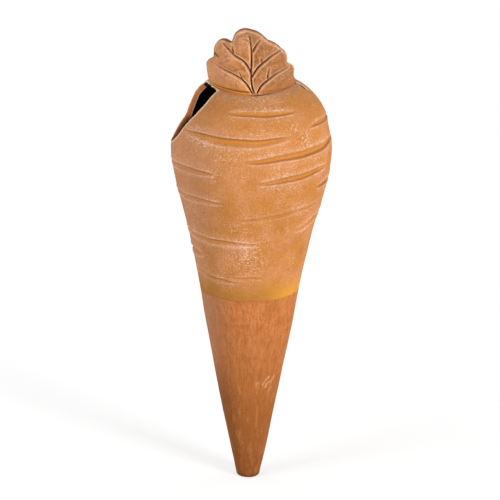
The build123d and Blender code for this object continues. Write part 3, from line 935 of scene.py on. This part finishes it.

# %% [markdown]
# ### Leaf, cut clay, inside and slip
# The leaf has the same coat with more of the wash rubbed into it, ochre pooled at its foot and dark
# brown painted in its veins as shade. The cut through the wall shows bare clay with edges painted
# pale as a highlight, and the inside is painted dark as shade.

# %% Leaf
LEAF_TAN, LEAF_ROSE, LEAF_BLOTCH = paint(196, 131, 76), paint(200, 139, 98), paint(150, 90, 46)
LEAF_RIGHT_SHADE, LEAF_LEFT_LIGHT, LEAF_TOP_SHADE = paint(154, 101, 60), paint(226, 157, 107), paint(162, 109, 74)
POOL_LEFT, POOL_RIGHT, LEAF_WASH = paint(222, 146, 58), paint(184, 114, 48), paint(236, 188, 156)
# Pale for painted highlights on the burrs and near the margin
LEAF_LIP_HIGHLIGHT, LEAF_EDGE_HIGHLIGHT = paint(250, 208, 168), paint(238, 192, 152)
LEAF_MARGIN_SHADE, VEIN_SHADE = paint(112, 64, 34), paint(108, 58, 27)
k = Layers(finish["leaf_clay"])
patch = k.grain(9, 3, shift=0.2)
tooth = k.grain(0.62, 2, 0.65)
colour = k.mix(k.rise(patch, 0.36, 0.64), LEAF_TAN, LEAF_ROSE)
# The leaf's left is painted lighter, as light, and its right and top darker, as shade
colour = k.layered(
    colour, (k.grain(2.6, 4, 0.65), 0.44, 0.64, 0.0, 0.85, LEAF_BLOTCH),
    (k.x, -0.003, 0.010, 0.0, 0.62, LEAF_RIGHT_SHADE), (k.x, -0.021, -0.005, 0.8, 0.0, LEAF_LEFT_LIGHT),
    (k.z, 0.207, 0.222, 0.0, 0.55, LEAF_TOP_SHADE))
pool = k.mix(k.rise(k.x, -0.004, 0.006), POOL_LEFT, POOL_RIGHT)
colour = k.marked(colour, ("collar", 0.95, pool))
catch = k.sum(tooth, (k.grain(6, 3, shift=0.5), 0.35), (k.told("edge"), 0.1), (k.told("collar"), -0.2))
colour = k.mix(k.rise(catch, 0.68, 1.0, 0.0, 0.75), colour, LEAF_WASH)
# The dark margin is painted shade
colour = k.marked(colour, ("lip", 0.65, LEAF_LIP_HIGHLIGHT), ("edge", 0.35, LEAF_EDGE_HIGHLIGHT), ("line", 0.8, LEAF_MARGIN_SHADE))
# The veins, the fold and the tuck at the foot are painted dark as shade
colour = k.mix(k.rise(k.told("channel"), 0.25, 0.8, 0.0, 0.85), colour, VEIN_SHADE)
k.clay(colour, k.sum(tooth, (patch, 0.5), (k.grain(1.6, 3, 0.6), 0.8)), 0.5, strength=0.9, dust=0.03)
print("leaf:", len(k.tree.nodes), "nodes")

# %% Cut clay, inside and slip
CUT, CUT_PALE, SHADOW = paint(206, 128, 70), paint(222, 146, 92), paint(24, 12, 7)
INSIDE_SHADE, INSIDE_SHADE_PALE = paint(26, 14, 8), paint(40, 23, 14)
SLIP_SHADE, SLIP_SHADE_PALE, SLIP_LEFT = paint(92, 50, 22), paint(128, 76, 36), paint(204, 133, 54)
k = Layers(finish["cut_clay"])
colour = k.mix(k.rise(k.grain(2.6, 3), 0.4, 0.65), CUT, CUT_PALE)
colour = k.mix(k.told("dark"), colour, SHADOW)
# Pale edges, a painted highlight along the rim
colour = k.mix(k.rise(k.told("edge"), 0.1, 0.7, 0.0, 0.95), colour, EDGE_HIGHLIGHT)
k.clay(colour, k.grain(0.8, 3), 0.15)

k = Layers(finish["inner_clay"])
# The inside is painted dark as shade
colour = k.mix(k.rise(k.grain(6, 3), 0.4, 0.65), INSIDE_SHADE, INSIDE_SHADE_PALE)
k.clay(colour, k.grain(1.2, 3), 0.2)

k = Layers(finish["joining_slip"])
# The bead is painted dark brown as the shade in the joint, and ochre on its left
colour = k.mix(k.rise(k.grain(2.5, 3), 0.4, 0.65), SLIP_SHADE, SLIP_SHADE_PALE)
colour = k.mix(k.rise(k.x, -0.003, 0.002, 0.8, 0.0), colour, SLIP_LEFT)
k.clay(colour, k.grain(0.7, 3), 0.15)
print("finishes:", sorted(finish))

# %% [markdown]
# ## Stage, light and camera
# The object stands on a pale floor in a bright room. The floor shows white to the camera but gives
# back less light than it shows, so that the underside of the cone stays as dark as it should be. Its
# glow grows with the distance just as the lamps' light falls, which leaves the shadow alone in it.
# A broad low lamp in front on the right, a weaker one on the left and two behind give soft light.

# %% Floor and world
FLOOR = 6.0
floor_mesh = bpy.data.meshes.new("floor")
floor_mesh.from_pydata(
    [(-FLOOR, -FLOOR, 0), (FLOOR, -FLOOR, 0), (FLOOR, FLOOR, 0), (-FLOOR, FLOOR, 0)], [], [(0, 1, 2, 3)])
floor = add("floor", floor_mesh)
floor_mesh.materials.append(finish["pale_floor"])


def seen_ray(k):
    """1 for rays from the camera, mirrors and glass, and 0 for the light that bounces about."""
    rays = k.node("ShaderNodeLightPath").outputs
    seen = rays["Is Camera Ray"]
    for kind in ("Is Glossy Ray", "Is Transmission Ray"):
        seen = k.node("ShaderNodeMath", {0: seen, 1: rays[kind]}, operation="MAXIMUM").outputs[0]
    return seen


WHITE, PALE, DULL = (1, 1, 1, 1), (0.55, 0.55, 0.55, 1), (0.35, 0.34, 0.33, 1)
GLOW, GLOW_PER_METRE, ROOM, ROOM_SEEN = 0.62, 0.1, 0.38, 1.0
k = Layers(finish["pale_floor"])
shade = k.node("ShaderNodeBsdfDiffuse", {"Color": k.mix(seen_ray(k), DULL, PALE)})
away = k.node("ShaderNodeVectorMath", {0: k.place}, operation="LENGTH").outputs["Value"]
much = k.times(seen_ray(k), k.sum(GLOW, (away, GLOW_PER_METRE)))
glow = k.node("ShaderNodeEmission", {"Color": WHITE, "Strength": much})
both = k.node("ShaderNodeAddShader", {0: shade.outputs[0], 1: glow.outputs[0]})
k.tree.links.new(both.outputs[0], k.node("ShaderNodeOutputMaterial").inputs[0])

world = bpy.data.worlds.new("room")
bpy.context.scene.world = world
k = Layers(world)
much = k.rise(seen_ray(k), 0, 1, ROOM, ROOM_SEEN)
light = k.node("ShaderNodeBackground", {"Color": WHITE, "Strength": much})
k.tree.links.new(light.outputs[0], k.node("ShaderNodeOutputWorld").inputs[0])
print("floor:", 2 * FLOOR, "m wide; world light", ROOM)

# %% Lamps
LOOK_AT = Vector((0, 0, 0.13))


def lamp(name, place, power, wide):
    """A square lamp that looks at the middle of the carrot."""
    light = bpy.data.lights.new(name, "AREA")
    light.energy, light.size = power, wide
    holder = add(name, light)
    holder.location = place
    holder.rotation_euler = (LOOK_AT - Vector(place)).to_track_quat("-Z", "Y").to_euler()
    print("lamp", name, "of", power, "W")


lamp("front_right", (0.98, -0.92, 0.28), 17.0, 0.35)
lamp("front_left", (-1.0, -0.60, 0.34), 7.2, 0.5)
lamp("right_rear", (0.9, 0.7, 0.5), 1.0, 0.5)
lamp("left_rear", (-0.9, 0.7, 0.5), 1.0, 0.5)

# %% Camera
AIM, AWAY, LOOK_DOWN, TILT = Vector((0, 0, 0.11322)), 0.9, math.radians(16), math.radians(0.8)
camera = add("camera", bpy.data.cameras.new("camera"))
camera.location = AIM + AWAY * Vector((0, -math.cos(LOOK_DOWN), math.sin(LOOK_DOWN)))
facing = (AIM - camera.location).to_track_quat("-Z", "Y").to_matrix() @ Matrix.Rotation(TILT, 3, "Z")
camera.rotation_euler = facing.to_euler()
camera.data.sensor_width, camera.data.lens = 36, 137.78
bpy.context.scene.camera = camera
bpy.context.scene.view_settings.view_transform = "Standard"
print("camera at", np.round(camera.location, 3).tolist())
